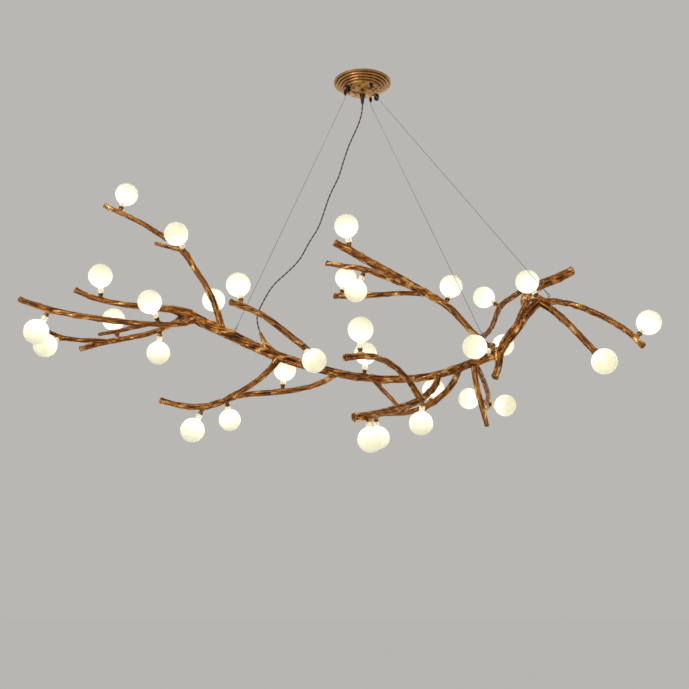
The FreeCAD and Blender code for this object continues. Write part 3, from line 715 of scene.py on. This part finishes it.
def make_pin(side):
    """One contact pin with a tapered end."""
    across = side * pin_spacing / 2
    bpy.ops.mesh.primitive_cylinder_add(vertices=10, radius=pin_radius, depth=pin_shank,
                                        location=(across, 0, -pin_shank / 2))
    pin = settle(bpy.context.active_object)
    pick_faces(pin, lambda face: face.normal.z < -0.5)
    bpy.ops.mesh.extrude_region_move(
        TRANSFORM_OT_translate={"value": (0, 0, pin_shank - pin_length)})
    bpy.ops.transform.resize(value=(pin_point, pin_point, 1),
                             center_override=(across, 0, -pin_length))
    done()
    wear(pin, PIN)
    return pin


def lamp_place(node, way):
    """Where a lamp's base sits on its holder, measured on the CAD globe, and its turn."""
    points = points_of(frame["nodes"][node].data)
    turn = UP.rotation_difference(way).to_matrix().to_4x4()
    across, over = turn.col[0].xyz, turn.col[1].xyz
    seat = way * (float((points @ np.array(way)).min()) + pin_length)
    for side in (across, over):
        reach = points @ np.array(side)
        seat += side * float((reach.max() + reach.min()) / 2)
    return Matrix.Translation(seat) @ turn


def make_lamps():
    """One lamp is modelled and copied into every holder, each copy with its own mesh."""
    parts = [make_globe(), make_neck(), make_capsule(), make_pin(-1), make_pin(1)]
    only(*parts)
    bpy.ops.object.join()
    model = bpy.context.active_object
    for joint in frame["joints"]:
        node = joint["child"]
        if not node.startswith("lamp_"):
            continue
        lamp = bpy.data.objects.new(node + "_globe", model.data.copy())
        bpy.context.scene.collection.objects.link(lamp)
        lamp.data.transform(lamp_place(node, Vector(joint["axis"])))
        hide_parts(node)
        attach(lamp, node)
    bpy.data.objects.remove(model)


# ---------------------------------------------------------- wires and the cord
def make_wires():
    """Each wire leaves its gripper at the plunger's tip."""
    for number in (1, 2, 3):
        node = f"suspension_wire_{number}"
        wire = copy_of(node, node + "_strand")
        bpy.ops.object.shade_smooth_by_angle(angle=math.radians(50))
        wear(wire, WIRE)
        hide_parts(node)
        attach(wire, "canopy")
        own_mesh(wire)


def cord_route():
    """The cord's line, read from a smooth spline through its listed points."""
    points = [cord_exit, cord_exit - UP * cord_lead]
    points += [Vector(place) * MM for place in CORD]
    points += [cord_tip + cord_tip_way * cord_lead, cord_tip]
    curve = bpy.data.curves.new("cord_route", "CURVE")
    curve.dimensions = "3D"
    curve.resolution_u = 24
    spline = curve.splines.new("NURBS")
    spline.points.add(len(points) - 1)
    for point, place in zip(spline.points, points):
        point.co = (*place, 1)
    spline.order_u = 3
    spline.use_endpoint_u = True
    holder = bpy.data.objects.new("cord_route", curve)
    bpy.context.scene.collection.objects.link(holder)
    bpy.context.view_layer.update()
    graph = bpy.context.evaluated_depsgraph_get()
    line = bpy.data.meshes.new_from_object(holder.evaluated_get(graph))
    route = [point.co.copy() for point in line.vertices]
    bpy.data.objects.remove(holder)
    return route


def make_cord():
    """Two insulated strands twisted round each other along the route."""
    route = cord_route()
    radius = strand_diameter / 2
    offset = (cord_diameter - strand_diameter) / 2
    ways = [(b - a).normalized() for a, b in zip(route, route[1:])]
    ways.append(ways[-1])
    vertices, faces, skins = [], [], []
    for strand in (0, 1):
        first = len(vertices)
        side = Vector((1, 0, 0))
        run = 0.0
        for i, (place, way) in enumerate(zip(route, ways)):
            side = (side - way * side.dot(way)).normalized()
            over = way.cross(side)
            turn = 2 * math.pi * run / strand_pitch + math.pi * strand
            middle = place + (side * math.cos(turn) + over * math.sin(turn)) * offset
            for k in range(strand_sides):
                angle = 2 * math.pi * k / strand_sides
                spoke = side * math.cos(angle) + over * math.sin(angle)
                vertices.append(middle + spoke * radius)
            if i:
                run += (place - route[i - 1]).length
                for k in range(strand_sides):
                    a = first + (i - 1) * strand_sides + k
                    b = first + (i - 1) * strand_sides + (k + 1) % strand_sides
                    faces.append((a, b, b + strand_sides, a + strand_sides))
                    skins.append(strand)
        last = len(vertices) - strand_sides
        faces.append(tuple(range(first, first + strand_sides))[::-1])
        faces.append(tuple(range(last, last + strand_sides)))
        skins += [strand, strand]
    mesh = bpy.data.meshes.new("twisted_cord")
    mesh.from_pydata(vertices, [], faces)
    cord = bpy.data.objects.new("twisted_cord", mesh)
    bpy.context.scene.collection.objects.link(cord)
    wear(cord, DARK_STRAND, TAN_STRAND)
    mesh.polygons.foreach_set("material_index", skins)
    only(cord)
    bpy.ops.object.shade_smooth_by_angle(angle=math.radians(60))
    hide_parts("power_cord")
    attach(cord, "canopy")
    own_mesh(cord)


# ------------------------------------------------------------------- canopy
def make_canopy():
    """The spun canopy, with the edges of its steps and holes rolled over."""
    piece = copy_of("canopy_shell", "canopy_spun")
    rolled = piece.modifiers.new("rolled edges", "BEVEL")
    rolled.width = rolled_edge
    rolled.segments = 3
    rolled.angle_limit = math.radians(50)
    bpy.ops.object.modifier_apply(modifier=rolled.name)
    bpy.ops.object.shade_smooth_by_angle(angle=math.radians(40))
    wear(piece, BRONZE)
    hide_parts("canopy_shell")
    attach(piece, "canopy")


# -------------------------------------------------------- nodes that stay CAD
def dress_nodes():
    """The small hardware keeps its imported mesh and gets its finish."""
    finishes = {
        "ceiling_crossbar": ZINC, "lamp_driver": WHITE_PLASTIC,
        "canopy_screws": BLACK_STEEL, "strain_relief": BLACK_PLASTIC,
        "wire_grippers": BLACK_STEEL, "wire_eyes": WIRE,
        "gripper_plunger_1": BLACK_STEEL, "gripper_plunger_2": BLACK_STEEL,
        "gripper_plunger_3": BLACK_STEEL,
    }
    for node, finish in finishes.items():
        wear(frame["nodes"][node], finish)


# --------------------------------------------------------------------- scene
def make_floor():
    """A plain pale floor that runs into the backdrop's colour and keeps a soft shadow."""
    bpy.ops.mesh.primitive_plane_add(size=floor_size, location=(0, 0, floor_height))
    floor = bpy.context.active_object
    floor.name = "floor"
    made, tree, shader = material("pale_plaster_floor")
    feed(tree, shader, {"Base Color": linear("#D8D6D2"), "Roughness": 0.9})
    rays = add(tree, "LightPath").outputs
    seen = add(tree, "Math", {0: rays["Is Camera Ray"], 1: rays["Is Glossy Ray"]},
               operation="MAXIMUM")
    seen = add(tree, "Math", {0: seen.outputs["Value"], 1: rays["Is Transmission Ray"]},
               operation="MAXIMUM")
    share = add(tree, "Math", {0: seen.outputs["Value"], 1: backdrop_share},
                operation="MULTIPLY")
    backdrop = add(tree, "Emission", {"Color": linear(backdrop_colour), "Strength": 1.0})
    mixed = add(tree, "MixShader", {"Fac": share.outputs["Value"], 1: shader.outputs["BSDF"],
                                    2: backdrop.outputs["Emission"]})
    feed(tree, tree.nodes["Material Output"], {"Surface": mixed.outputs["Shader"]})
    wear(floor, made)


def make_studio():
    """An even backdrop and three soft lights that look at the middle of the tree."""
    world = bpy.data.worlds.new("studio")
    bpy.context.scene.world = world
    world.use_nodes = True
    feed(world.node_tree, world.node_tree.nodes["Background"],
         {"Color": linear(backdrop_colour), "Strength": 1.0})
    for name, place, size, power, colour in LIGHTS:
        data = bpy.data.lights.new(name, "AREA")
        data.size = size
        data.energy = power
        data.color = linear(colour)[:3]
        light = bpy.data.objects.new(name, data)
        bpy.context.scene.collection.objects.link(light)
        light.location = place
        way = Vector(light_target) - Vector(place)
        light.rotation_euler = way.to_track_quat("-Z", "Y").to_euler()
    bpy.context.scene.view_settings.view_transform = "Standard"


def make_camera():
    """The photograph's viewpoint: from the front and below, looking up."""
    data = bpy.data.cameras.new("camera")
    data.sensor_width = sensor_width
    data.lens = focal_pixels / image_width * sensor_width
    camera = bpy.data.objects.new("camera", data)
    bpy.context.scene.collection.objects.link(camera)
    camera.location = camera_place
    camera.rotation_euler = (math.pi / 2 + camera_rise, 0, 0)
    bpy.context.scene.camera = camera


make_camera()
make_cord()
make_wires()
make_limbs()
make_holders()
make_lamps()
make_canopy()
dress_nodes()
make_floor()
make_studio()
